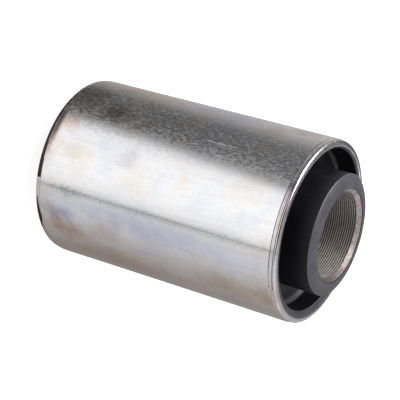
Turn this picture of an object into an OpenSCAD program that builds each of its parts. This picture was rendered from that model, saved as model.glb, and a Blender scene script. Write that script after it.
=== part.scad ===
// Leaf spring bushing: a rubber body bonded between a rolled steel sleeve and a steel bolt tube.
// It stands on one end with its axis along Z, in millimetres, its lower face on z 0.

/* [Outer sleeve] */
// Outside diameter, a press fit in the spring eye
sleeve_d = 60; // [54:0.5:70]
// Length of the sleeve
sleeve_len = 90; // [60:0.5:120]
// Sheet thickness of the rolled sleeve
sleeve_wall = 2.2; // [1.8:0.1:3]
// Length of the lead-in taper at each end
lead_len = 2.3; // [1.5:0.1:4]
// How far the lead-in taper draws in
lead_depth = 0.25; // [0.1:0.05:0.5]
// Radius of the outer edge at each end
end_round = 0.7; // [0.3:0.05:1]
// Chamfer of the inner edge at each end
inner_chamfer = 0.25; // [0.1:0.05:0.3]

/* [Butt seam] */
// Gap left where the rolled sheet closes
seam_gap = 0.1; // [0.1:0.05:0.5]
// Bevel along each side of the seam
seam_bevel = 0.15; // [0.1:0.05:0.6]
// Direction of the seam around the axis
seam_turn = -71; // [-180:1:180]

/* [Inner tube] */
// Diameter of the bolt bore
bore_d = 28; // [22:0.5:30]
// Wall of the tube
tube_wall = 3.5; // [2.5:0.25:4]
// Chamfer at both mouths of the bore
mouth_chamfer = 1.1; // [0.5:0.1:1.5]

/* [Rubber] */
// How far each collar stands out of the sleeve
overhang = 6.8; // [4:0.1:10]
// Thickness of the rubber lip over each end of the tube
lip = 0.7; // [0.4:0.1:1.5]
// Step from the mouth of the bore back to the lip
lip_step = 0.05; // [0.05:0.05:0.3]
// Rubber around the tube in each collar
collar_wall = 2.25; // [1.5:0.25:3]
// Width of the crowned outer part of the collar face
crown_w = 3.8; // [1:0.1:4]
// Radius of that crown
crown_r = 6.6; // [5:0.2:12]
// Rubber left on the wall of the sleeve beside the recess
liner = 1.3; // [0.8:0.1:2]
// How far the liner stops short of the end of the sleeve
liner_set = 0.45; // [0.2:0.05:1.5]
// Depth of the ring recess, from the end of the sleeve
recess_depth = 8; // [4:0.5:14]
// Radius at the foot of the recess
recess_round = 1.6; // [0.8:0.1:2]

/* [Hidden] */
$fn = 128;
overall_len = sleeve_len + 2 * overhang;
sleeve_r = sleeve_d / 2;
sleeve_in_r = sleeve_r - sleeve_wall;
sleeve_end = sleeve_len / 2;
face_end = overall_len / 2;
tube_end = face_end - lip;
bore_r = bore_d / 2;
tube_r = bore_r + tube_wall;
mouth_r = bore_r + mouth_chamfer;
lip_r = mouth_r + lip_step;
collar_r = tube_r + collar_wall;
liner_r = sleeve_in_r - liner;
liner_end = sleeve_end - liner_set;
recess_foot = sleeve_end - recess_depth;
recess_w = liner_r - collar_r;
// Radius at the foot, held to what the width of the recess takes
foot_r = min(recess_round, recess_w * 0.45);
// Sharp outline that the rounded end edge is cut from
lead_r = sleeve_r - lead_depth;
// Past this distance a cutter is clear of the piece that it cuts
clear = 1;

// Repeats a cut of the upper end at the lower end.
module both_ends() {
    children();
    mirror([0, 1]) children();
}

// Turns a profile about the axis and stands it on the floor.
module turned() {
    translate([0, 0, face_end])
        rotate_extrude()
            children();
}

// Cuts an outer corner to a radius; the corner is the far end of the quarter.
module quarter_cut(radius, width) {
    difference() {
        square([width + clear, radius + clear]);
        circle(radius);
    }
}

// Cuts a mouth at 45 degrees, from a wall radius out to the end face.
module mouth_cut(wall_r, end, depth) {
    polygon([
        [wall_r - clear, end - depth - clear],
        [wall_r + depth + clear, end + clear],
        [wall_r - clear, end + clear]
    ]);
}

// Wall of the sleeve: a taper, a rounded outer edge and a broken inner edge at each end.
module sleeve_profile() {
    difference() {
        translate([sleeve_in_r, -sleeve_end])
            square([sleeve_wall, sleeve_len]);
        both_ends() {
            polygon([
                [sleeve_r, sleeve_end - lead_len],
                [lead_r, sleeve_end - end_round],
                [lead_r, sleeve_end + clear],
                [sleeve_r + clear, sleeve_end + clear],
                [sleeve_r + clear, sleeve_end - lead_len]
            ]);
            translate([lead_r - end_round, sleeve_end - end_round])
                quarter_cut(end_round, end_round);
            mouth_cut(sleeve_in_r, sleeve_end, inner_chamfer);
        }
    }
}

// Slit and bevels of the butt seam, as a long cutter beside the axis.
module seam_cutter() {
    rotate([0, 0, seam_turn])
        linear_extrude(overall_len)
            polygon([
                [sleeve_in_r - clear, -seam_gap / 2],
                [sleeve_r - seam_bevel, -seam_gap / 2],
                [sleeve_r + clear, -seam_gap / 2 - seam_bevel - clear],
                [sleeve_r + clear, seam_gap / 2 + seam_bevel + clear],
                [sleeve_r - seam_bevel, seam_gap / 2],
                [sleeve_in_r - clear, seam_gap / 2]
            ]);
}

// Zinc-plated sleeve, rolled from sheet and closed at a butt seam.
module outer_sleeve() {
    color([0.72, 0.72, 0.73])
        difference() {
            turned() sleeve_profile();
            seam_cutter();
        }
}

// Round-footed ring recess between the collar and the liner.
module recess() {
    height = overhang + recess_depth;
    translate([collar_r, recess_foot]) {
        translate([0, foot_r])
            square([recess_w, height]);
        translate([foot_r, 0])
            square([recess_w - 2 * foot_r, height]);
        translate([foot_r, foot_r])
            circle(foot_r);
        translate([recess_w - foot_r, foot_r])
            circle(foot_r);
    }
}

// Rubber: one block less the room for the tube and, at each end, the recess and the crown.
module rubber_profile() {
    difference() {
        translate([lip_r, -face_end])
            square([sleeve_in_r - lip_r, overall_len]);
        translate([lip_r - clear, -tube_end])
            square([tube_wall - mouth_chamfer - lip_step + clear, 2 * tube_end]);
        both_ends() {
            recess();
            translate([(collar_r + liner_r) / 2, liner_end])
                square([sleeve_in_r, overhang + liner_set + clear]);
            translate([collar_r - crown_w, face_end - crown_r])
                quarter_cut(crown_r, crown_w);
        }
    }
}

// Rubber moulded in one shot between the two steel pieces.
module rubber_body() {
    color([0.07, 0.07, 0.08])
        turned() rubber_profile();
}

// Wall of the tube with its chamfered mouths.
module tube_profile() {
    difference() {
        translate([bore_r, -tube_end])
            square([tube_wall, 2 * tube_end]);
        both_ends() mouth_cut(bore_r, tube_end, mouth_chamfer);
    }
}

// Thick tube that the spring bolt goes through.
module inner_tube() {
    color([0.55, 0.53, 0.52])
        turned() tube_profile();
}

outer_sleeve();
rubber_body();
inner_tube();
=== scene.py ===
"""Leaf spring bushing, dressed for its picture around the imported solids.

The bushing stands on its end on z 0 with its axis along Z. Sizes are in millimetres in the
classes and become metres in the meshes. The photograph shows it lying down, so the camera is
rolled: the picture's right is +Z and its top is -X.
"""

import logging
import math
from dataclasses import dataclass
from enum import Enum, IntEnum
from typing import Any, Optional, Protocol

import bmesh
import bpy
from mathutils import Euler, Matrix, Vector, noise


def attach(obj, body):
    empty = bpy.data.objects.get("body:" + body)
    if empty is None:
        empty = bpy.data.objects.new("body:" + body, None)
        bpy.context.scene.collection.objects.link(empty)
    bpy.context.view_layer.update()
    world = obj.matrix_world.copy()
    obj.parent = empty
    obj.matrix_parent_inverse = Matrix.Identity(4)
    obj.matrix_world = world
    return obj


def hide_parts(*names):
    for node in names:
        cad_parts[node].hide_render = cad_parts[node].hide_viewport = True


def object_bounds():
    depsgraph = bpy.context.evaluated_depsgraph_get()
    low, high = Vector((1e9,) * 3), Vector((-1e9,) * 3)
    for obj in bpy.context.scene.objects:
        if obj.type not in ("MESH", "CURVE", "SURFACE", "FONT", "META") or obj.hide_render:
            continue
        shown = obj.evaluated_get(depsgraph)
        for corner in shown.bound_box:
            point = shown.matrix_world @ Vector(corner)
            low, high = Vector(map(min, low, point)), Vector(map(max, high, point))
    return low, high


LOG = logging.getLogger("bushing")
MM = 0.001

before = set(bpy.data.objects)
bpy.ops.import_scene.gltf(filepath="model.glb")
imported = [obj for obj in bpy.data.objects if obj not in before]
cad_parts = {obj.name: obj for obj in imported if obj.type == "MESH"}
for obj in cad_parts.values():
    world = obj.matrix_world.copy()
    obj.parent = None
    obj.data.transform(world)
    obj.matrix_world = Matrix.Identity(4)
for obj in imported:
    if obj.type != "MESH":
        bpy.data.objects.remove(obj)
CAD_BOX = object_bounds()
MIDDLE = CAD_BOX[1][2] / 2 / MM


class End(Enum):
    """The two ends of the bushing, as the side of the middle that they lie on."""

    UPPER = 1
    LOWER = -1


class SleeveZone(IntEnum):
    """What covers a face of the sleeve, as the number of its material."""

    PLATE = 0
    GROOVE_SHADE = 1
    BLACK = 2


class RubberZone(IntEnum):
    """Which skin a face of the rubber has, as the number of its material."""

    MOULDED = 0
    RUBBED = 1
    TRIMMED = 2
    CORNER = 3
    FOOT = 4
    EDGE = 5


class TubeZone(IntEnum):
    """Which tool left a face of the tube, as the number of its material."""

    WALL = 0
    CHAMFER = 1


class Finish(Protocol):
    """What every finish can do."""

    def build(self) -> bpy.types.Material:
        """Makes the finish."""
        ...


def linear(colour: str) -> tuple[float, float, float, float]:
    """Turns an sRGB hex colour into linear light.

    Args:
        colour: six hex digits after a hash.

    Returns:
        Red, green, blue and an alpha of 1.
    """
    parts = [int(colour[i : i + 2], 16) / 255 for i in (1, 3, 5)]
    low = [c / 12.92 if c <= 0.04045 else ((c + 0.055) / 1.055) ** 2.4 for c in parts]
    return (low[0], low[1], low[2], 1.0)


def add(
    tree: bpy.types.NodeTree,
    kind: str,
    links: Optional[dict[Any, Any]] = None,
    stops: Optional[list[tuple[float, str]]] = None,
    **settings: Any,
) -> bpy.types.Node:
    """Adds a node with its settings, values and links.

    Args:
        tree: node tree that gets the node.
        kind: Blender's name of the node type.
        links: input name or number to a socket, which is linked, or to a value.
        stops: places and hex colours of a ramp.
        **settings: attributes of the node.

    Returns:
        The new node.
    """
    made = tree.nodes.new(kind)
    for key, value in settings.items():
        setattr(made, key, value)
    for key, value in (links or {}).items():
        if isinstance(value, bpy.types.NodeSocket):
            tree.links.new(value, made.inputs[key])
        else:
            made.inputs[key].default_value = value
    if stops:
        ramp = made.color_ramp
        ramp.interpolation = "B_SPLINE"
        while len(ramp.elements) < len(stops):
            ramp.elements.new(0.5)
        for element, (place, colour) in zip(ramp.elements, stops):
            element.position = place
            element.color = linear(colour)
    return made


def blank(name: str) -> tuple[bpy.types.Material, bpy.types.NodeTree, bpy.types.NodeSocket]:
    """Makes an empty node material.

    Args:
        name: what the real material is.

    Returns:
        The material, its node tree and its output's surface socket.
    """
    material = bpy.data.materials.new(name)
    material.use_nodes = True
    tree = material.node_tree
    tree.nodes.clear()
    output = add(tree, "ShaderNodeOutputMaterial")
    return material, tree, output.inputs["Surface"]


@dataclass(frozen=True)
class Stain:
    """A local mark on a finish: a soft blot in the row frame, in millimetres.

    It multiplies the colour below it, and adds to the roughness.
    """

    centre: tuple[float, float, float]
    reach: tuple[float, float, float]
    colour: str = "#FFFFFF"
    share: float = 1.0
    rough: float = 0.0
    ragged_mm: float = 4.0
    ragged: float = 1.6


@dataclass(frozen=True)
class ZincPlate:
    """Zinc plate with a thin chromate film on rolled steel sheet.

    The grain of the sheet shows through the plate as a fine glitter, and the film
    turns the grey faintly violet, beige and pink in cloudy patches. The side that hung
    outwards in the bath has a coarser grain. The real grain is too fine to show in the
    picture, so it is drawn as coarse as it needs to be.
    """

    name: str = "zinc_plated_steel"
    pale: str = "#F1F1F2"
    cool: str = "#E3E4EE"
    warm: str = "#EDE3DB"
    grain_mm: float = 0.5
    mottle_mm: float = 0.66
    drawn: float = 2.3
    streak_mm: float = 1.8
    streak_drawn: float = 9.0
    cloud_mm: float = 14.0
    coarse_from: float = -9.0
    coarse_to: float = -16.0
    coarse_back: float = 7.0
    smoothest: float = 0.15
    dull: float = 0.23
    dull_rise: float = 0.26
    speckle: float = 0.9
    streak: float = 0.88
    relief: float = 0.05
    relief_rise: float = 0.3
    relief_mm: float = 0.03
    stains: tuple[Stain, ...] = ()

    def build(self) -> bpy.types.Material:
        """Makes the finish.

        Returns:
            The material.
        """
        material, tree, surface = blank(self.name)
        place = add(tree, "ShaderNodeTexCoord").outputs["Object"]
        along, lengthwise = (
            add(
                tree,
                "ShaderNodeVectorMath",
                {0: place, 1: (1, 1, 1 / drawn)},
                operation="MULTIPLY",
            ).outputs[0]
            for drawn in (self.drawn, self.streak_drawn)
        )
        patterns = (
            (place, self.cloud_mm, 4.0, 0.6),
            (along, self.grain_mm, 3.0, 0.65),
            (along, self.mottle_mm, 4.0, 0.65),
            (lengthwise, self.streak_mm, 4.0, 0.7),
        )
        cloud, grain, mottle, streaks = (
            add(
                tree,
                "ShaderNodeTexNoise",
                {"Vector": where, "Scale": 1 / (size * MM), "Detail": detail, "Roughness": fine},
            ).outputs["Fac"]
            for where, size, detail, fine in patterns
        )
        tint = add(
            tree,
            "ShaderNodeValToRGB",
            {"Fac": cloud},
            stops=[(0.3, self.cool), (0.47, self.pale), (0.56, self.pale), (0.7, self.warm)],
        ).outputs["Color"]
        axes = add(tree, "ShaderNodeSeparateXYZ", {"Vector": place}).outputs
        outer = add(
            tree,
            "ShaderNodeMapRange",
            {"Value": axes["X"], 1: self.coarse_from * MM, 2: self.coarse_to * MM},
            interpolation_type="SMOOTHSTEP",
        )
        coarse = add(
            tree,
            "ShaderNodeMapRange",
            {
                "Value": axes["Y"],
                1: -self.coarse_back * MM,
                2: self.coarse_back * MM,
                3: outer.outputs["Result"],
                4: 0.0,
            },
            interpolation_type="SMOOTHSTEP",
        ).outputs["Result"]
        dullest, relief = (
            add(
                tree,
                "ShaderNodeMath",
                {0: coarse, 1: rise, 2: least},
                operation="MULTIPLY_ADD",
            ).outputs[0]
            for rise, least in ((self.dull_rise, self.dull), (self.relief_rise, self.relief))
        )
        rough = add(
            tree,
            "ShaderNodeMapRange",
            {
                "Value": mottle,
                1: 0.36,
                2: 0.68,
                3: self.smoothest,
                4: dullest,
            },
        ).outputs["Result"]
        speckle = add(
            tree,
            "ShaderNodeMapRange",
            {"Value": grain, 1: 0.3, 2: 0.7, 3: self.speckle},
        )
        streaked = add(
            tree,
            "ShaderNodeMapRange",
            {
                "Value": streaks,
                1: 0.3,
                2: 0.52,
                3: self.streak,
                4: speckle.outputs["Result"],
            },
            interpolation_type="SMOOTHSTEP",
        )
        tint = add(
            tree,
            "ShaderNodeMix",
            {0: 1.0, 6: tint, 7: streaked.outputs["Result"]},
            data_type="RGBA",
            blend_type="MULTIPLY",
        ).outputs[2]
        for stain in self.stains:
            tint, rough = self.blot(tree, place, tint, rough, stain)
        height = add(
            tree,
            "ShaderNodeMath",
            {0: mottle, 1: 0.5, 2: grain},
            operation="MULTIPLY_ADD",
        )
        bump = add(
            tree,
            "ShaderNodeBump",
            {
                "Height": height.outputs[0],
                "Strength": relief,
                "Distance": self.relief_mm * MM,
            },
        )
        shader = add(
            tree,
            "ShaderNodeBsdfPrincipled",
            {
                "Base Color": tint,
                "Metallic": 1.0,
                "Roughness": rough,
                "Normal": bump.outputs["Normal"],
            },
        )
        tree.links.new(shader.outputs["BSDF"], surface)
        return material

    @staticmethod
    def blot(
        tree: bpy.types.NodeTree,
        place: bpy.types.NodeSocket,
        under: bpy.types.NodeSocket,
        rough: bpy.types.NodeSocket,
        stain: Stain,
    ) -> tuple[bpy.types.NodeSocket, bpy.types.NodeSocket]:
        """Lays one stain over a colour and a roughness.

        Args:
            tree: node tree of the finish.
            place: Object coordinates.
            under: colour below the stain.
            rough: roughness below it.
            stain: the stain.

        Returns:
            The colour and the roughness with the stain on them.
        """
        shifted = add(
            tree,
            "ShaderNodeVectorMath",
            {0: place, 1: Vector(stain.centre) * MM},
            operation="SUBTRACT",
        )
        scaled = add(
            tree,
            "ShaderNodeVectorMath",
            {0: shifted.outputs[0], 1: [1 / (r * MM) for r in stain.reach]},
            operation="MULTIPLY",
        )
        ragged = add(
            tree,
            "ShaderNodeTexNoise",
            {
                "Vector": place,
                "Scale": 1 / (stain.ragged_mm * MM),
                "Detail": 5.0,
                "Roughness": 0.65,
            },
        )
        far = add(tree, "ShaderNodeVectorMath", {0: scaled.outputs[0]}, operation="LENGTH")
        uneven = add(
            tree,
            "ShaderNodeMath",
            {0: ragged.outputs["Fac"], 1: stain.ragged, 2: far.outputs["Value"]},
            operation="MULTIPLY_ADD",
        )
        share = add(
            tree,
            "ShaderNodeMapRange",
            {
                "Value": uneven.outputs[0],
                1: stain.ragged / 2 + 0.1,
                2: stain.ragged / 2 + 1.1,
                3: stain.share,
                4: 0.0,
            },
            interpolation_type="SMOOTHSTEP",
        )
        mixed = add(
            tree,
            "ShaderNodeMix",
            {0: share.outputs["Result"], 6: under, 7: linear(stain.colour)},
            data_type="RGBA",
            blend_type="MULTIPLY",
        )
        dulled = add(
            tree,
            "ShaderNodeMath",
            {0: share.outputs["Result"], 1: stain.rough, 2: rough},
            operation="MULTIPLY_ADD",
        )
        return mixed.outputs[2], dulled.outputs[0]


@dataclass(frozen=True)
class MouldedRubber:
    """Black natural rubber, straight from a steel mould.

    It is nearly black with a dull sheen, and the skin has a faint bloom and fine mould grain,
    which is drawn coarser than it is so that it shows. Along one axis, between two given
    places, the colour may turn towards a lighter tone: painted light.
    """

    name: str = "moulded_black_rubber"
    skin: str = "#17171B"
    bloom: str = "#232328"
    gloss: float = 0.16
    rough: float = 0.49
    grain_mm: float = 0.8
    cloud_mm: float = 7.0
    painted_light: Optional[str] = None
    painted_light_axis: str = "X"
    painted_light_from: float = 2.0
    painted_light_to: float = 20.0
    uneven: float = 0.07
    relief: float = 0.4
    relief_mm: float = 0.02
    ior: float = 1.52

    def build(self) -> bpy.types.Material:
        """Makes the finish.

        Returns:
            The material.
        """
        material, tree, surface = blank(self.name)
        place = add(tree, "ShaderNodeTexCoord").outputs["Object"]
        cloud = add(
            tree,
            "ShaderNodeTexNoise",
            {"Vector": place, "Scale": 1 / (self.cloud_mm * MM), "Detail": 5.0, "Roughness": 0.6},
        )
        grain = add(
            tree,
            "ShaderNodeTexNoise",
            {"Vector": place, "Scale": 1 / (self.grain_mm * MM), "Detail": 2.0},
        )
        patchy = add(
            tree,
            "ShaderNodeMix",
            {0: 0.45, 2: cloud.outputs["Fac"], 3: grain.outputs["Fac"]},
        )
        colour = add(
            tree,
            "ShaderNodeValToRGB",
            {"Fac": patchy.outputs[0]},
            stops=[(0.36, self.skin), (0.66, self.bloom)],
        ).outputs["Color"]
        # Painted light: the colour turns lighter along one axis.
        if self.painted_light:
            across = add(tree, "ShaderNodeSeparateXYZ", {"Vector": place}).outputs[self.painted_light_axis]
            lit_share = add(
                tree,
                "ShaderNodeMapRange",
                {"Value": across, 1: self.painted_light_from * MM, 2: self.painted_light_to * MM},
                interpolation_type="SMOOTHSTEP",
            )
            colour = add(
                tree,
                "ShaderNodeMix",
                {0: lit_share.outputs["Result"], 6: colour, 7: linear(self.painted_light)},
                data_type="RGBA",
            ).outputs[2]
        rough = add(
            tree,
            "ShaderNodeMapRange",
            {
                "Value": cloud.outputs["Fac"],
                1: 0.3,
                2: 0.7,
                3: self.rough - self.uneven,
                4: self.rough + self.uneven,
            },
        )
        bump = add(
            tree,
            "ShaderNodeBump",
            {
                "Height": grain.outputs["Fac"],
                "Strength": self.relief,
                "Distance": self.relief_mm * MM,
            },
        )
        shader = add(
            tree,
            "ShaderNodeBsdfPrincipled",
            {
                "Base Color": colour,
                "Roughness": rough.outputs["Result"],
                "IOR": self.ior,
                "Specular IOR Level": self.gloss,
                "Normal": bump.outputs["Normal"],
            },
        )
        tree.links.new(shader.outputs["BSDF"], surface)
        return material


@dataclass(frozen=True)
class TurnedSteel:
    """Bare steel as the boring bar or the chamfer tool left it, with a film of oil.

    The wall of the bore is brownish and dull, with oil left dark in its feed marks, whose dark
    tone is also painted shade for the grooves; a fresh chamfer is bright and a little pink. The
    colour may turn darker along X over a given span.
    """

    name: str
    metal: str
    film: str
    rough: float
    cloud_mm: float = 5.0
    dark_tone: str = "#6C6562"
    metallic: float = 1.0
    marks: Optional[tuple[float, float]] = None
    darker_span: Optional[tuple[float, float]] = None
    darker_share: float = 0.8

    def build(self) -> bpy.types.Material:
        """Makes the finish.

        Returns:
            The material.
        """
        material, tree, surface = blank(self.name)
        place = add(tree, "ShaderNodeTexCoord").outputs["Object"]
        cloud = add(
            tree,
            "ShaderNodeTexNoise",
            {"Vector": place, "Scale": 1 / (self.cloud_mm * MM), "Detail": 5.0, "Roughness": 0.65},
        )
        colour = add(
            tree,
            "ShaderNodeValToRGB",
            {"Fac": cloud.outputs["Fac"]},
            stops=[(0.35, self.metal), (0.7, self.film)],
        ).outputs["Color"]
        if self.marks:
            colour = self.feed_marks(tree, place, colour, *self.marks)
        # The colour turns darker towards +X, over the given span.
        if self.darker_span:
            across = add(tree, "ShaderNodeSeparateXYZ", {"Vector": place}).outputs["X"]
            darkened = add(
                tree,
                "ShaderNodeMapRange",
                {
                    "Value": across,
                    1: self.darker_span[0] * MM,
                    2: self.darker_span[1] * MM,
                    4: self.darker_share,
                },
                interpolation_type="SMOOTHSTEP",
            )
            colour = add(
                tree,
                "ShaderNodeMix",
                {0: darkened.outputs["Result"], 6: colour, 7: linear(self.dark_tone)},
                data_type="RGBA",
            ).outputs[2]
        rough = add(
            tree,
            "ShaderNodeMapRange",
            {
                "Value": cloud.outputs["Fac"],
                1: 0.3,
                2: 0.7,
                3: self.rough - 0.06,
                4: self.rough + 0.08,
            },
        )
        shader = add(
            tree,
            "ShaderNodeBsdfPrincipled",
            {
                "Base Color": colour,
                "Metallic": self.metallic,
                "Roughness": rough.outputs["Result"],
            },
        )
        tree.links.new(shader.outputs["BSDF"], surface)
        return material

    def feed_marks(
        self,
        tree: bpy.types.NodeTree,
        place: bpy.types.NodeSocket,
        colour: bpy.types.NodeSocket,
        crest: float,
        pitch: float,
    ) -> bpy.types.NodeSocket:
        """Leaves oil in the feed marks of the bore, whose dark tone is also painted shade for the
        grooves.

        Args:
            tree: node tree of the finish.
            place: Object coordinates.
            colour: colour of the clean steel.
            crest: height of one crest between two marks, in millimetres.
            pitch: distance of the marks along Z, in millimetres.

        Returns:
            The colour with the oil in the marks.
        """
        moved = add(
            tree,
            "ShaderNodeVectorMath",
            {0: place, 1: (0, 0, crest * MM)},
            operation="SUBTRACT",
        )
        # One wave of this texture is a tenth of pi long at a scale of 1.
        wave = add(
            tree,
            "ShaderNodeTexWave",
            {"Vector": moved.outputs[0], "Scale": math.pi / 10 / (pitch * MM), "Distortion": 1.2},
            bands_direction="Z",
        )
        held = add(
            tree,
            "ShaderNodeMapRange",
            {"Value": wave.outputs["Fac"], 1: 0.15, 2: 0.6},
            interpolation_type="SMOOTHSTEP",
        )
        darkened = add(
            tree,
            "ShaderNodeMix",
            {0: held.outputs["Result"], 6: colour, 7: linear(self.dark_tone)},
            data_type="RGBA",
        )
        return darkened.outputs[2]


class Turned:
    """What the turned pieces share: profiles spun about Z, and objects that ride on the root.

    The tube and the moulding around it sit a little off the sleeve's axis.
    """

    middle: float = MIDDLE
    off_axis: tuple[float, float] = (-0.65, -0.45)

    def shifted(self, bm: bmesh.types.BMesh, full: float, none: float) -> None:
        """Moves the inner part of a mesh off the sleeve's axis.

        Args:
            bm: the mesh.
            full: radius up to which it moves all the way, in millimetres.
            none: radius from which it stays.
        """
        for vert in bm.verts:
            share = (none - vert.co.xy.length / MM) / (none - full)
            vert.co.xy += Vector(self.off_axis) * MM * min(1.0, max(0.0, share))

    def spun(
        self, profile: list[tuple[float, float]], start: float, sweep: float, steps: int
    ) -> bmesh.types.BMesh:
        """Spins a closed profile about the axis.

        Args:
            profile: radius and height above the middle of each corner, in millimetres.
            start: direction of the first copy around Z, in radians.
            sweep: how far it spins, in radians; a whole turn closes on itself.
            steps: number of steps.

        Returns:
            The spun mesh.
        """
        bm = bmesh.new()
        corners = [
            bm.verts.new(
                (
                    r * math.cos(start) * MM,
                    r * math.sin(start) * MM,
                    (z + self.middle) * MM,
                )
            )
            for r, z in profile
        ]
        sides = [bm.edges.new((a, b)) for a, b in zip(corners, corners[1:] + corners[:1])]
        bmesh.ops.spin(
            bm,
            geom=corners + sides,
            axis=(0, 0, 1),
            cent=(0, 0, 0),
            angle=sweep,
            steps=steps,
            use_merge=abs(sweep - math.tau) < 1e-9,
        )
        bmesh.ops.remove_doubles(bm, verts=bm.verts, dist=1e-7)
        return bm

    @staticmethod
    def both_ends(upper: list[tuple[float, float]]) -> list[tuple[float, float]]:
        """Closes a profile of the upper end with its mirror image below the middle.

        Args:
            upper: corners from the outside at the middle round to the inside, mirrored as they are.

        Returns:
            The whole closed profile.
        """
        lower = [(r, z * End.LOWER.value) for r, z in reversed(upper)]
        return upper + lower

    @staticmethod
    def arc(
        centre: tuple[float, float], radius: float, first: float, last: float, steps: int
    ) -> list[tuple[float, float]]:
        """Rounds a corner of a profile.

        Args:
            centre: centre of the arc, in millimetres.
            radius: its radius.
            first: angle of its first point, in degrees from outwards.
            last: angle of its last point.
            steps: number of steps.

        Returns:
            Points along the arc.
        """
        turns = [math.radians(first + (last - first) * i / steps) for i in range(steps + 1)]
        return [
            (centre[0] + radius * math.cos(t), centre[1] + radius * math.sin(t)) for t in turns
        ]

    @staticmethod
    def finished(bm: bmesh.types.BMesh, name: str, sharp: float = 32.0) -> bpy.types.Object:
        """Makes an object of a mesh, with outward faces, smooth but for its sharp edges.

        Args:
            bm: the mesh, which is freed.
            name: name of the piece.
            sharp: angle in degrees from which an edge stays sharp.

        Returns:
            The object, in the scene.
        """
        bmesh.ops.recalc_face_normals(bm, faces=bm.faces)
        for face in bm.faces:
            face.smooth = True
        for edge in bm.edges:
            edge.smooth = edge.calc_face_angle(0.0) < math.radians(sharp)
        mesh = bpy.data.meshes.new(name)
        bm.to_mesh(mesh)
        bm.free()
        made = bpy.data.objects.new(name, mesh)
        bpy.context.scene.collection.objects.link(made)
        return made

    @staticmethod
    def seated(piece: bpy.types.Object, node: str, slot: str) -> bpy.types.Object:
        """Puts a piece in the place of its solid.

        Args:
            piece: the finished piece.
            node: the solid that it stands for.
            slot: the record's material slot; not used.

        Returns:
            The piece.
        """
        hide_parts(node)
        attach(piece, "root")
        LOG.info("%s: %d faces", piece.name, len(piece.data.polygons))
        return piece

    @staticmethod
    def coated(piece: bpy.types.Object, finishes: dict[Any, Finish]) -> None:
        """Gives a piece its finishes, in the order of its zones.

        Args:
            piece: the finished piece.
            finishes: the finish of each zone.
        """
        for zone in sorted(finishes):
            piece.data.materials.append(finishes[zone].build())


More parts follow.
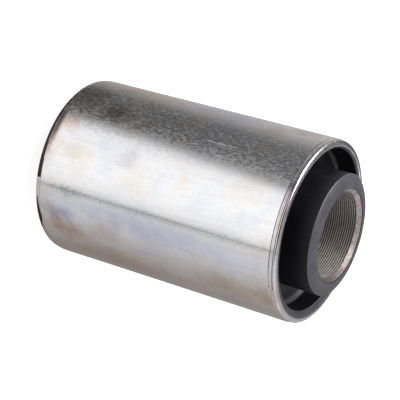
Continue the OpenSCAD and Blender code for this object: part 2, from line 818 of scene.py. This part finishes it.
@dataclass
class OuterSleeve(Turned):
    """The rolled sleeve with its butt seam and lead-in tapers."""

    radius: float = 30.0
    inner: float = 27.8
    length: float = 90.0
    lead_length: float = 2.3
    lead_depth: float = 0.25
    end_round: float = 0.7
    end_tilt: float = 12.0
    end_crest: float = 28.2
    groove: float = 0.16
    groove_width: float = 0.22
    groove_corners: tuple[float, ...] = (-0.5, -0.3, 0.3, 0.5)
    groove_shade_from: float = 0.3
    ragged: float = 0.12
    ragged_depth: float = 0.2
    ragged_reach: float = 0.6
    ragged_per_mm: float = 0.9
    worn_from: float = 20.0
    worn_to: float = 70.0
    taper_steps: tuple[float, ...] = (0.15, 0.4, 0.65, 0.9, 1.1)
    black_turns: tuple[tuple[float, float], ...] = (
        (-74.5, -131.0),
        (-47.0, -61.0),
        (-47.0, -37.0),
    )
    black_past: float = 1.25
    seam_turn: float = -71.2
    seam_gap: float = 0.04
    roll_in: float = 0.08
    roll_reach: float = 1.5
    roll_ease: float = 8.0
    crowding: float = 1.5
    steps: int = 300

    def profile(self, end: End) -> list[tuple[float, float]]:
        """Draws one half of the wall: taper, rounded edge, sheared end and broken inner edge.

        Args:
            end: the half; the upper one has corners for the tool grooves of its taper, the
                lower one for its black stretches.

        Returns:
            Corners from the outside at the middle round to the inside.
        """
        tip = self.length / 2
        start = tip - self.lead_length
        lead = self.radius - self.lead_depth
        tilt = math.radians(self.end_tilt)
        brow = lead - self.end_round * (1 - math.sin(tilt))
        fall = (brow - self.end_crest) * math.tan(tilt)
        edge = (lead - self.end_round, tip - fall - self.end_round * math.cos(tilt))
        slope = self.lead_depth / (edge[1] - start)
        half = [(self.radius, 0.0), (self.radius, start - 2.0), (self.radius, start - 0.3)]
        if end is End.UPPER:
            for middle in self.groove_places():
                for across in self.groove_corners:
                    along = middle + across * self.groove_width
                    half.append((self.radius - slope * max(0.0, along), start + along))
        else:
            for along in self.taper_steps:
                half.append((self.radius - slope * along, start + along))
        half += self.arc(edge, self.end_round, 0, 90 - self.end_tilt, 8)
        half += [
            (self.end_crest, tip),
            (self.end_crest - 0.14, tip - 0.03),
            (self.inner + 0.08, tip - 0.12),
            (self.inner, tip - 0.3),
            (self.inner, 0.0),
        ]
        return [(r, z * end.value) for r, z in half]

    def groove_places(self) -> tuple[float, float]:
        """Gives the tool grooves' distances past the start of the taper: at it and near its end."""
        return (0.0, self.lead_length - self.end_round - 0.4)

    def cut(self, place: Vector) -> float:
        """Gives the depth of the tool grooves at a place on the wall, as a share of the whole.

        Args:
            place: a point, in metres.

        Returns:
            1 at the bottom of a groove, 0 beside it, and less where the groove has worn away.
        """
        if place.xy.length / MM < self.radius - 2 * self.lead_depth:
            return 0.0
        past = place.z / MM - self.middle - self.length / 2 + self.lead_length
        near = min(abs(past - middle) for middle in self.groove_places())
        if near > self.groove_width * 0.4:
            return 0.0
        turn = abs(math.degrees(math.atan2(place.y, place.x)))
        kept = min(1.0, max(0.0, (turn - self.worn_from) / (self.worn_to - self.worn_from)))
        return kept**2 * (1 + 0.5 * noise.noise(place / MM * 0.25))

    def build(self) -> bpy.types.Object:
        """Spins the wall from one side of the seam to the other and rolls its edge in.

        The steps crowd towards the seam, where the sheared edge of the sheet rolls in.

        Returns:
            The sleeve.
        """
        half_gap = self.seam_gap / 2 / self.radius
        seam = math.radians(self.seam_turn)
        wall = self.profile(End.UPPER) + self.profile(End.LOWER)[::-1]
        bm = self.spun(wall, seam + half_gap, math.tau - 2 * half_gap, self.steps)
        open_sides = [e for e in bm.edges if e.is_boundary]
        bmesh.ops.holes_fill(bm, edges=open_sides, sides=0)
        for vert in bm.verts:
            flat = Vector((vert.co.x, vert.co.y))
            turn = math.remainder(math.atan2(flat.y, flat.x) - seam, math.tau)
            whole = math.pi - half_gap
            share = max(0.0, (abs(turn) - half_gap) / whole)
            crowded = math.copysign(half_gap + whole * share**self.crowding, turn)
            away = abs(crowded) * self.radius / self.roll_reach
            height = abs(vert.co.z / MM - self.middle)
            ease = min(1.0, (self.length / 2 - height) / self.roll_ease)
            dip = ease * self.roll_in * MM * max(0.0, 1 - away) ** 2 if crowded < 0 else 0.0
            at_end = height > self.length / 2 - self.ragged_depth
            if at_end and flat.length < (self.inner + self.ragged_reach) * MM:
                dip -= self.ragged * MM * noise.noise(vert.co / MM * self.ragged_per_mm)
            turned = Vector((math.cos(seam + crowded), math.sin(seam + crowded)))
            vert.co.xy = turned * flat.length
            dip += self.groove * MM * self.cut(vert.co)
            vert.co.xy = turned * (flat.length - dip)
        for face in bm.faces:
            centre = face.calc_center_median()
            # Faces deep in a tool groove get a dark finish: painted shade in the groove.
            if self.cut(centre) > self.groove_shade_from:
                face.material_index = SleeveZone.GROOVE_SHADE
            # The black stretches of the lower taper: a painted dark reflection.
            elif self.blackened(centre):
                face.material_index = SleeveZone.BLACK
        return self.seated(self.finished(bm, "sleeve"), "outer_sleeve", "zinc_steel")

    def blackened(self, place: Vector) -> bool:
        """Tells whether a place lies on the black stretches of the lower end, a painted dark
        reflection.

        Args:
            place: a point, in metres.

        Returns:
            True on the two black stretches, which thin out from one direction to another.
        """
        past = self.middle - place.z / MM - self.length / 2 + self.lead_length
        turn = math.degrees(math.atan2(place.y, place.x))
        if past < 0 or place.xy.length / MM < self.end_crest:
            return False
        shares = [(turn - thin) / (thick - thin) for thick, thin in self.black_turns]
        return any(0 < share < 1 and past > self.black_past * (1 - share) for share in shares)

    def dress(self, piece: bpy.types.Object) -> None:
        """Gives the sleeve its zinc plate with its marks, painted shade in its tool grooves and a
        painted dark reflection in black stretches on its lower edge.

        Args:
            piece: the sleeve.
        """
        stains = (
            # Clouds of film on the side below the seam.
            Stain((15.6, -25.6, 12.5), (4, 4, 5), "#D8C6BA", 0.6),
            Stain((20.5, -21.9, 15.8), (6, 6, 8), "#DAC4B4", 0.6),
            Stain((22.4, -20.0, 21.8), (5, 5, 9), "#DECDC0", 0.6),
            Stain((17.2, -24.6, 17.2), (4, 3.5, 7), "#CCCCDE", 0.8),
            Stain((18.8, -23.3, 34.6), (5, 5, 8), "#E2D4CC", 0.6),
            Stain((15.0, -26.0, 55.0), (6, 5, 35), "#E2E5F2", 0.7, ragged_mm=9.0),
            Stain((26.3, -14.5, 36.3), (6, 7, 25), "#E4DACF", 0.7, ragged_mm=8.0),
            Stain((24.3, -17.5, 77.4), (6, 8, 14), "#E0D2C4", 0.6, ragged_mm=6.0),
            Stain((23.4, -18.7, 93.0), (6, 6, 6), "#DFC8B6", 0.7),
            # Faint clouds on the bright side above it.
            Stain((-12.1, -27.4, 12.4), (5, 4, 6), "#F3DCCB", 0.8),
            Stain((-2.0, -30.0, 9.5), (8, 4, 5), "#F4E4D8", 0.8, ragged_mm=3.0),
            Stain((-3.4, -29.8, 19.5), (4, 4, 8), "#F4E7DC", 0.7, ragged_mm=3.0),
            Stain((2.8, -29.9, 43.9), (5, 4, 8), "#F8F2E8", 0.7),
            Stain((-5.5, -29.5, 39.8), (5, 4, 5), "#E8E4E0", 0.7),
            # The coarse side.
            Stain((-19.0, -23.2, 26.5), (6, 5, 6), "#A89C94", 0.8, ragged_mm=5.0),
            Stain((-28.5, -8.0, 22.0), (9, 10, 22), "#EBDCD2", 0.8, ragged_mm=8.0),
            Stain((-23.0, -19.3, 13.0), (8, 8, 9), "#CCC6C4", 0.9, ragged_mm=5.0),
            Stain((-28.7, -8.8, 88.1), (6, 6, 7), "#E6D0CC", 0.6),
            Stain((-28.5, -7.0, 62.0), (8, 11, 30), "#E2E4F4", 0.9, ragged_mm=9.0),
            # Dirt along the seam, film at both tapers and two scratches.
            Stain((9.85, -28.33, 51.8), (1.4, 1.4, 90), "#A0A29C", 0.42, 0.05, 0.7, 2.8),
            Stain((9.7, -28.4, 19.5), (2.0, 2.0, 7), "#A8AAA4", 0.5, 0.1, 0.9, 4.0),
            Stain((-4.0, -29.5, 95.8), (12, 6, 1.6), "#EEDCDA", 1.0, ragged_mm=2.0),
            Stain((22.0, -20.0, 96.2), (10, 12, 2.5), "#F4F2F0", 1.0, 0.3, ragged_mm=2.0),
            Stain((-11.0, -27.5, 9.2), (15, 9, 1.9), "#8E7E76", 1.0, 0.2, 3.0, 0.8),
            Stain((-17.7, -24.2, 66.6), (0.22, 0.22, 9.0), rough=0.4),
            Stain((-13.8, -26.6, 68.2), (0.25, 0.25, 2.0), rough=0.35),
        )
        # Painted shade for the tool grooves, as a dark rubbery skin.
        groove_shade = MouldedRubber("painted_groove_shade", "#3A3634", "#5C5552", 0.3, cloud_mm=3.0)
        # The black stretches of the lower taper are a painted dark reflection, in a dark steel
        # finish.
        black = TurnedSteel("painted_dark_reflection_edge", "#4A4441", "#231F1D", 0.3, 3.0)
        finishes = {
            SleeveZone.PLATE: ZincPlate(stains=stains),
            SleeveZone.GROOVE_SHADE: groove_shade,
            SleeveZone.BLACK: black,
        }
        self.coated(piece, finishes)


@dataclass
class RubberBody(Turned):
    """The moulded rubber: liner, ring recess, collar and the lip over the tube."""

    bonded: float = 27.8
    liner: float = 26.5
    liner_end: float = 44.8
    liner_slope: float = 0.25
    collar: float = 19.75
    tube: float = 17.5
    lip: float = 15.2
    lip_end: float = 51.6
    lip_bevel: float = 0.2
    face: float = 51.8
    crown_width: float = 3.8
    crown_radius: float = 6.6
    edge_round: float = 0.5
    recess_foot: float = 37.0
    recess_round: float = 1.6
    liner_round: float = 0.15
    hollow_round: float = 0.3
    crown_depth: float = 2.0
    trim_depth: float = 1.5
    rubbed_flat: float = 0.78
    edge_flat: float = 0.3
    trimmed_flat: float = 0.6
    corner_flat: tuple[float, float] = (0.3, 0.97)
    foot_flat: float = 0.1
    steps: int = 192

    def profile(self) -> list[tuple[float, float]]:
        """Draws the rubber's section.

        Returns:
            Corners of the closed profile.
        """
        foot = self.recess_foot + self.recess_round
        crown_start = self.collar - self.crown_width
        upper = [(self.bonded, 0.0), (self.bonded, self.liner_end - 0.1)]
        outer = (self.bonded - self.liner_round, self.liner_end - self.liner_round)
        upper += self.arc(outer, self.liner_round, 20, 80, 3)
        hollow = self.liner_end - self.liner_slope - self.hollow_round
        upper += self.arc((self.liner + self.hollow_round, hollow), self.hollow_round, 115, 180, 4)
        upper += self.arc((self.liner - self.recess_round, foot), self.recess_round, 0, -90, 8)
        upper += self.arc((self.collar + self.recess_round, foot), self.recess_round, -90, -180, 8)
        # The edge's radius runs into the crown: 0.43 is 1 less about the cosine of their join.
        last = math.acos((self.crown_width - self.edge_round * 0.43) / self.crown_radius)
        brow = self.face - self.crown_radius * (1 - math.sin(last))
        edge = (self.collar - self.edge_round, brow - self.edge_round * math.sin(last))
        upper += self.arc(edge, self.edge_round, 0, math.degrees(last), 5)[:-1]
        crown = (crown_start, self.face - self.crown_radius)
        upper += self.arc(crown, self.crown_radius, math.degrees(last), 90, 8)
        upper += [
            (self.lip + self.lip_bevel, self.face),
            (self.lip, self.lip_end),
            (self.tube, self.lip_end),
            (self.tube, 0.0),
        ]
        return self.both_ends(upper)

    def build(self) -> bpy.types.Object:
        """Spins the section.

        Returns:
            The rubber body.
        """
        bm = self.spun(self.profile(), 0.0, math.tau, self.steps)
        bmesh.ops.recalc_face_normals(bm, faces=bm.faces)
        for face in bm.faces:
            face.material_index = self.zone(face)
        self.shifted(bm, self.liner, self.bonded)
        return self.seated(self.finished(bm, "rubber"), "rubber_body", "black_rubber")

    def zone(self, face: bmesh.types.BMFace) -> RubberZone:
        """Tells which skin a face has, by its place and by how far it faces along the axis.

        Args:
            face: a face of the body, before the body moves off the axis.

        Returns:
            The zone.
        """
        centre = face.calc_center_median()
        reach = centre.xy.length / MM
        height = abs(centre.z / MM - self.middle)
        flat = abs(face.normal.z)
        if height > self.face - self.crown_depth:
            if flat > self.rubbed_flat:
                return RubberZone.RUBBED
            if reach < self.tube:
                return RubberZone.MOULDED
            if flat > self.edge_flat:
                return RubberZone.EDGE
        if height > self.liner_end - self.trim_depth and flat > self.trimmed_flat:
            return RubberZone.TRIMMED
        low, high = self.corner_flat
        if reach > self.liner - self.recess_round and low < flat < high:
            return RubberZone.CORNER
        return RubberZone.FOOT if flat > self.foot_flat else RubberZone.MOULDED

    def dress(self, piece: bpy.types.Object) -> None:
        """Gives the rubber the skin of each zone.

        Args:
            piece: the rubber body.
        """
        # The moulded surfaces turn lighter in the top few millimetres below the upper end face:
        # painted light at the mouth of the recess, painted shade deeper in.
        moulded = MouldedRubber(painted_light="#313136", painted_light_axis="Z", painted_light_from=98.0, painted_light_to=104.0)
        # The collar's rounded edge is lighter than the end face all round: a painted highlight, on
        # a glossier skin.
        edge = MouldedRubber("glossy_edge_rubber_painted_highlight", "#54545A", "#747479", 0.6, 0.3)
        rubbed = MouldedRubber("rubbed_end_rubber", "#48484E", "#68686E", 0.3)
        trimmed = MouldedRubber("trimmed_liner_rubber", "#3E3E44", "#5E5E66", 0.25)
        # The corner at the liner turns lighter towards +X: a painted highlight.
        corner = MouldedRubber(
            "recess_corner_rubber_painted_highlight", "#1C1C20", "#36363C", 0.5, 0.38, painted_light="#92929A"
        )
        # The foot of the recess turns lighter towards +X: a painted patch of light.
        foot = MouldedRubber(
            "polished_recess_rubber_painted_light", "#17171A", "#28282D", 0.45, 0.38, painted_light="#6A6A70"
        )
        finishes = {
            RubberZone.MOULDED: moulded,
            RubberZone.RUBBED: rubbed,
            RubberZone.TRIMMED: trimmed,
            RubberZone.CORNER: corner,
            RubberZone.FOOT: foot,
            RubberZone.EDGE: edge,
        }
        self.coated(piece, finishes)


@dataclass
class InnerTube(Turned):
    """The bolt tube: a bore with the feed marks of the boring bar and chamfered mouths."""

    bore: float = 14.0
    outer: float = 17.5
    end: float = 51.6
    mouth_width: float = 1.15
    mouth_depth: float = 1.35
    ragged: float = 0.22
    ragged_per_mm: float = 0.8
    marks: int = 132
    groove: float = 0.13
    steps: int = 120

    def profile(self) -> list[tuple[float, float]]:
        """Draws the wall with a row of shallow grooves down the bore.

        Returns:
            Corners of the closed profile.
        """
        upper = [
            (self.outer, 0.0),
            (self.outer, self.end),
            (self.bore + self.mouth_width, self.end),
            (self.bore, self.end - self.mouth_depth),
        ]
        for i in range(self.marks // 2):
            top = self.end - self.mouth_depth - i * self.pitch
            upper += [
                (self.bore + self.groove, top - 0.5 * self.pitch),
                (self.bore, top - self.pitch),
            ]
        return self.both_ends(upper)

    @property
    def pitch(self) -> float:
        """Gives the feed of the boring bar for one turn."""
        return 2 * (self.end - self.mouth_depth) / self.marks

    def build(self) -> bpy.types.Object:
        """Spins the wall and marks the chamfers.

        Returns:
            The tube.
        """
        bm = self.spun(self.profile(), 0.0, math.tau, self.steps)
        foot = self.end - self.mouth_depth
        for face in bm.faces:
            height = abs(face.calc_center_median().z / MM - self.middle)
            face.material_index = TubeZone.CHAMFER if height > foot else TubeZone.WALL
        for vert in bm.verts:
            height = vert.co.z / MM - self.middle
            if abs(abs(height) - foot) < 0.01 and vert.co.xy.length < (self.bore + 0.1) * MM:
                slip = self.ragged * noise.noise(vert.co / MM * self.ragged_per_mm)
                vert.co.z += math.copysign(slip, height) * MM
        self.shifted(bm, self.outer + 1.0, self.outer + 2.0)
        return self.seated(self.finished(bm, "bolt_tube", 24.0), "inner_tube", "bored_steel")

    def dress(self, piece: bpy.types.Object) -> None:
        """Gives the bore and the chamfers their steel.

        Args:
            piece: the tube.
        """
        # Dark lines in the feed marks: oil, and painted shade for the grooves.
        wall = TurnedSteel(
            "bored_steel_wall",
            "#E2DBD7",
            "#C6BEB9",
            0.46,
            metallic=0.35,
            marks=(self.middle, self.pitch),
        )
        # The chamfer turns darker towards +X.
        mouth = TurnedSteel("bright_turned_chamfer", "#DAD1CF", "#8C8381", 0.6, 1.4, darker_span=(2, 11))
        self.coated(piece, {TubeZone.WALL: wall, TubeZone.CHAMFER: mouth})


@dataclass(frozen=True)
class Softbox:
    """A square softbox that faces the bushing; places and sides are in metres."""

    name: str
    place: tuple[float, float, float]
    size: float
    watts: float
    aim: tuple[float, float, float] = (0.0, 0.0, 0.06)

    def hang(self) -> None:
        """Puts the lamp in the scene."""
        data = bpy.data.lights.new(self.name, "AREA")
        data.size = self.size
        data.energy = self.watts
        lamp = bpy.data.objects.new(self.name, data)
        spot = Vector(self.place)
        lamp.location = spot
        lamp.rotation_euler = (Vector(self.aim) - spot).to_track_quat("-Z", "Y").to_euler()
        bpy.context.scene.collection.objects.link(lamp)


@dataclass
class Studio:
    """Pale table, soft panels all round, two softboxes and the camera of the photograph."""

    aim: float = MIDDLE
    elevation: float = 27.8
    roll: float = 106.12
    distance: float = 467.6
    lens: float = 128.0
    shift: tuple[float, float] = (0.0012, -0.0066)
    gain: float = 1.2
    lean: float = -0.5
    table_side: float = 12.0
    table_glow: float = 0.9
    softboxes: tuple[Softbox, ...] = (
        Softbox("top_softbox", (-0.6, -0.05, 0.72), 0.8, 7.8),
        Softbox("side_softbox", (0.75, -0.1, 0.6), 1.2, 2.2),
    )

    def camera(self) -> None:
        """Sets the camera at the photograph's angle, rolled so the axis points to the right."""
        data = bpy.data.cameras.new("photo_camera")
        data.lens = self.lens
        data.sensor_width = 36.0
        data.shift_x, data.shift_y = self.shift
        data.clip_start, data.clip_end = 0.01, 50.0
        rise = math.radians(self.elevation)
        back = Vector((0, -math.cos(rise), math.sin(rise)))
        turn = Euler((math.pi / 2 - rise, 0, 0)).to_matrix()
        camera = bpy.data.objects.new("photo_camera", data)
        camera.matrix_world = (
            Matrix.Translation(Vector((0, 0, self.aim * MM)) + back * self.distance * MM)
            @ turn.to_4x4()
            @ Matrix.Rotation(math.radians(self.roll), 4, "Z")
        )
        bpy.context.scene.collection.objects.link(camera)
        bpy.context.scene.camera = camera

    def world(self) -> None:
        """Lights the room with panels of different tones around the table and a pale ceiling."""
        world = bpy.data.worlds.new("studio_panels")
        world.use_nodes = True
        world.cycles.sampling_method = "NONE"
        tree = world.node_tree
        tree.nodes.clear()
        way = add(tree, "ShaderNodeTexCoord").outputs["Generated"]
        parts = add(tree, "ShaderNodeSeparateXYZ", {"Vector": way})
        high = add(
            tree,
            "ShaderNodeMapRange",
            {"Value": parts.outputs["Z"], 1: -0.14, 2: 0.1},
            interpolation_type="SMOOTHSTEP",
        )
        room = add(
            tree,
            "ShaderNodeMix",
            {0: high.outputs["Result"], 6: self.panels(tree, parts), 7: self.ceiling(tree, parts)},
            data_type="RGBA",
        )
        lit = add(
            tree,
            "ShaderNodeBackground",
            {"Color": room.outputs[2], "Strength": self.gain},
        )
        white = add(tree, "ShaderNodeBackground", {"Color": (1, 1, 1, 1), "Strength": 1.0})
        path = add(tree, "ShaderNodeLightPath")
        seen = add(
            tree,
            "ShaderNodeMixShader",
            {0: path.outputs["Is Camera Ray"], 1: lit.outputs[0], 2: white.outputs[0]},
        )
        add(tree, "ShaderNodeOutputWorld", {"Surface": seen.outputs[0]})
        bpy.context.scene.world = world

    def panels(self, tree: bpy.types.NodeTree, parts: bpy.types.Node) -> bpy.types.NodeSocket:
        """Stands the panels round the table, by their direction from it.

        Args:
            tree: node tree of the world.
            parts: the node that splits the direction of view.

        Returns:
            The panels' colour.
        """
        front = add(tree, "ShaderNodeMath", {0: parts.outputs["Y"], 1: -1.0}, operation="MULTIPLY")
        turn = add(
            tree,
            "ShaderNodeMath",
            {0: parts.outputs["X"], 1: front.outputs[0]},
            operation="ARCTAN2",
        )
        share = add(
            tree,
            "ShaderNodeMath",
            {0: turn.outputs[0], 1: 1 / math.tau, 2: 0.5},
            operation="MULTIPLY_ADD",
        )
        # The edge of the front panel leans over on the side of the picture's top.
        left = add(
            tree,
            "ShaderNodeMapRange",
            {"Value": share.outputs[0], 1: 0.42, 2: 0.5, 3: self.lean, 4: 0.0},
        )
        rise = add(
            tree,
            "ShaderNodeMapRange",
            {"Value": parts.outputs["Z"], 1: -0.5425, 2: -0.4025, 3: -0.08, 4: 0.06},
        )
        leaning = add(
            tree,
            "ShaderNodeMath",
            {0: rise.outputs["Result"], 1: left.outputs["Result"], 2: share.outputs[0]},
            operation="MULTIPLY_ADD",
        )
        panels = add(
            tree,
            "ShaderNodeValToRGB",
            {"Fac": leaning.outputs[0]},
            stops=[
                (0.0, "#A0A0A0"),
                (0.056, "#CAC7C5"),
                (0.167, "#7E7C7A"),
                (0.205, "#484848"),
                (0.25, "#4C4C4C"),
                (0.357, "#464646"),
                (0.369, "#545454"),
                (0.379, "#E2E2E2"),
                (0.405, "#F0F0F0"),
                (0.5, "#FBFBFB"),
                (0.575, "#F0F0F0"),
                (0.61, "#C2C2C2"),
                (0.66, "#C2C2C8"),
                (0.7, "#BCBCC2"),
                (0.75, "#A4A09E"),
                (0.83, "#918983"),
                (0.92, "#706661"),
                (1.0, "#A0A0A0"),
            ],
        )
        # The panels are a little darker at their feet, and a little haze sets in above.
        deep = add(
            tree,
            "ShaderNodeMapRange",
            {"Value": parts.outputs["Z"], 1: -0.72, 2: -0.57, 3: 0.8, 4: 1.0},
            interpolation_type="SMOOTHSTEP",
        )
        haze = add(
            tree,
            "ShaderNodeMapRange",
            {"Value": parts.outputs["Z"], 1: -0.55, 2: -0.4, 3: 0.0, 4: 0.05},
        )
        sunk = add(
            tree,
            "ShaderNodeVectorMath",
            {0: panels.outputs["Color"], 1: deep.outputs["Result"], 2: haze.outputs["Result"]},
            operation="MULTIPLY_ADD",
        )
        return sunk.outputs[0]

    @staticmethod
    def ceiling(tree: bpy.types.NodeTree, parts: bpy.types.Node) -> bpy.types.NodeSocket:
        """Lights the room above the panels.

        Args:
            tree: node tree of the world.
            parts: the node that splits the direction of view.

        Returns:
            The ceiling's colour.
        """
        # It is dark about the camera, light overhead and at the sides.
        depth = add(
            tree,
            "ShaderNodeMath",
            {0: parts.outputs["Y"], 1: 0.5, 2: 0.5},
            operation="MULTIPLY_ADD",
        )
        upper = add(
            tree,
            "ShaderNodeValToRGB",
            {"Fac": depth.outputs[0]},
            stops=[(0.2, "#404040"), (0.34, "#B8B8B8"), (0.45, "#BCBCBC"), (0.85, "#8E8E8E")],
        )
        # Of the far panels the right one is brighter, and of the near ones the left.
        slant = add(
            tree,
            "ShaderNodeMath",
            {0: parts.outputs["X"], 1: parts.outputs["Y"]},
            operation="MULTIPLY",
        )
        uneven = add(
            tree,
            "ShaderNodeMapRange",
            {"Value": slant.outputs[0], 1: -0.13, 2: 0.13, 3: 0.35, 4: 1.4},
        )
        sided = add(
            tree,
            "ShaderNodeVectorMath",
            {0: upper.outputs["Color"], 1: uneven.outputs["Result"]},
            operation="MULTIPLY",
        )
        return sided.outputs[0]

    def floor(self) -> None:
        """Lays the pale table: white to the camera, with a soft shadow under the bushing."""
        bm = bmesh.new()
        bmesh.ops.create_grid(bm, x_segments=1, y_segments=1, size=self.table_side / 2)
        mesh = bpy.data.meshes.new("table_top")
        bm.to_mesh(mesh)
        bm.free()
        table = bpy.data.objects.new("table_top", mesh)
        bpy.context.scene.collection.objects.link(table)
        material, tree, surface = blank("white_laminate")
        matte = add(tree, "ShaderNodeBsdfDiffuse", {"Color": linear("#D8D8D8")})
        glow = add(tree, "ShaderNodeEmission", {"Color": (1, 1, 1, 1), "Strength": self.table_glow})
        both = add(tree, "ShaderNodeAddShader", {0: matte.outputs[0], 1: glow.outputs[0]})
        path = add(tree, "ShaderNodeLightPath")
        shown = add(
            tree,
            "ShaderNodeMixShader",
            {0: path.outputs["Is Camera Ray"], 1: matte.outputs[0], 2: both.outputs[0]},
        )
        tree.links.new(shown.outputs[0], surface)
        mesh.materials.append(material)
        # The sleeve mirrors the panels and not the table that it stands on.
        table.visible_glossy = False

    def build(self) -> None:
        """Sets up the room, the lamps and the camera."""
        self.world()
        self.floor()
        for lamp in self.softboxes:
            lamp.hang()
        self.camera()
        bpy.context.scene.view_settings.view_transform = "Standard"


def main() -> None:
    """Builds and dresses the bushing, then the studio."""
    logging.basicConfig(level=logging.INFO, format="%(name)s: %(message)s")
    for part in (OuterSleeve(), RubberBody(), InnerTube()):
        part.dress(part.build())
    Studio().build()


if __name__ == "__main__":
    main()
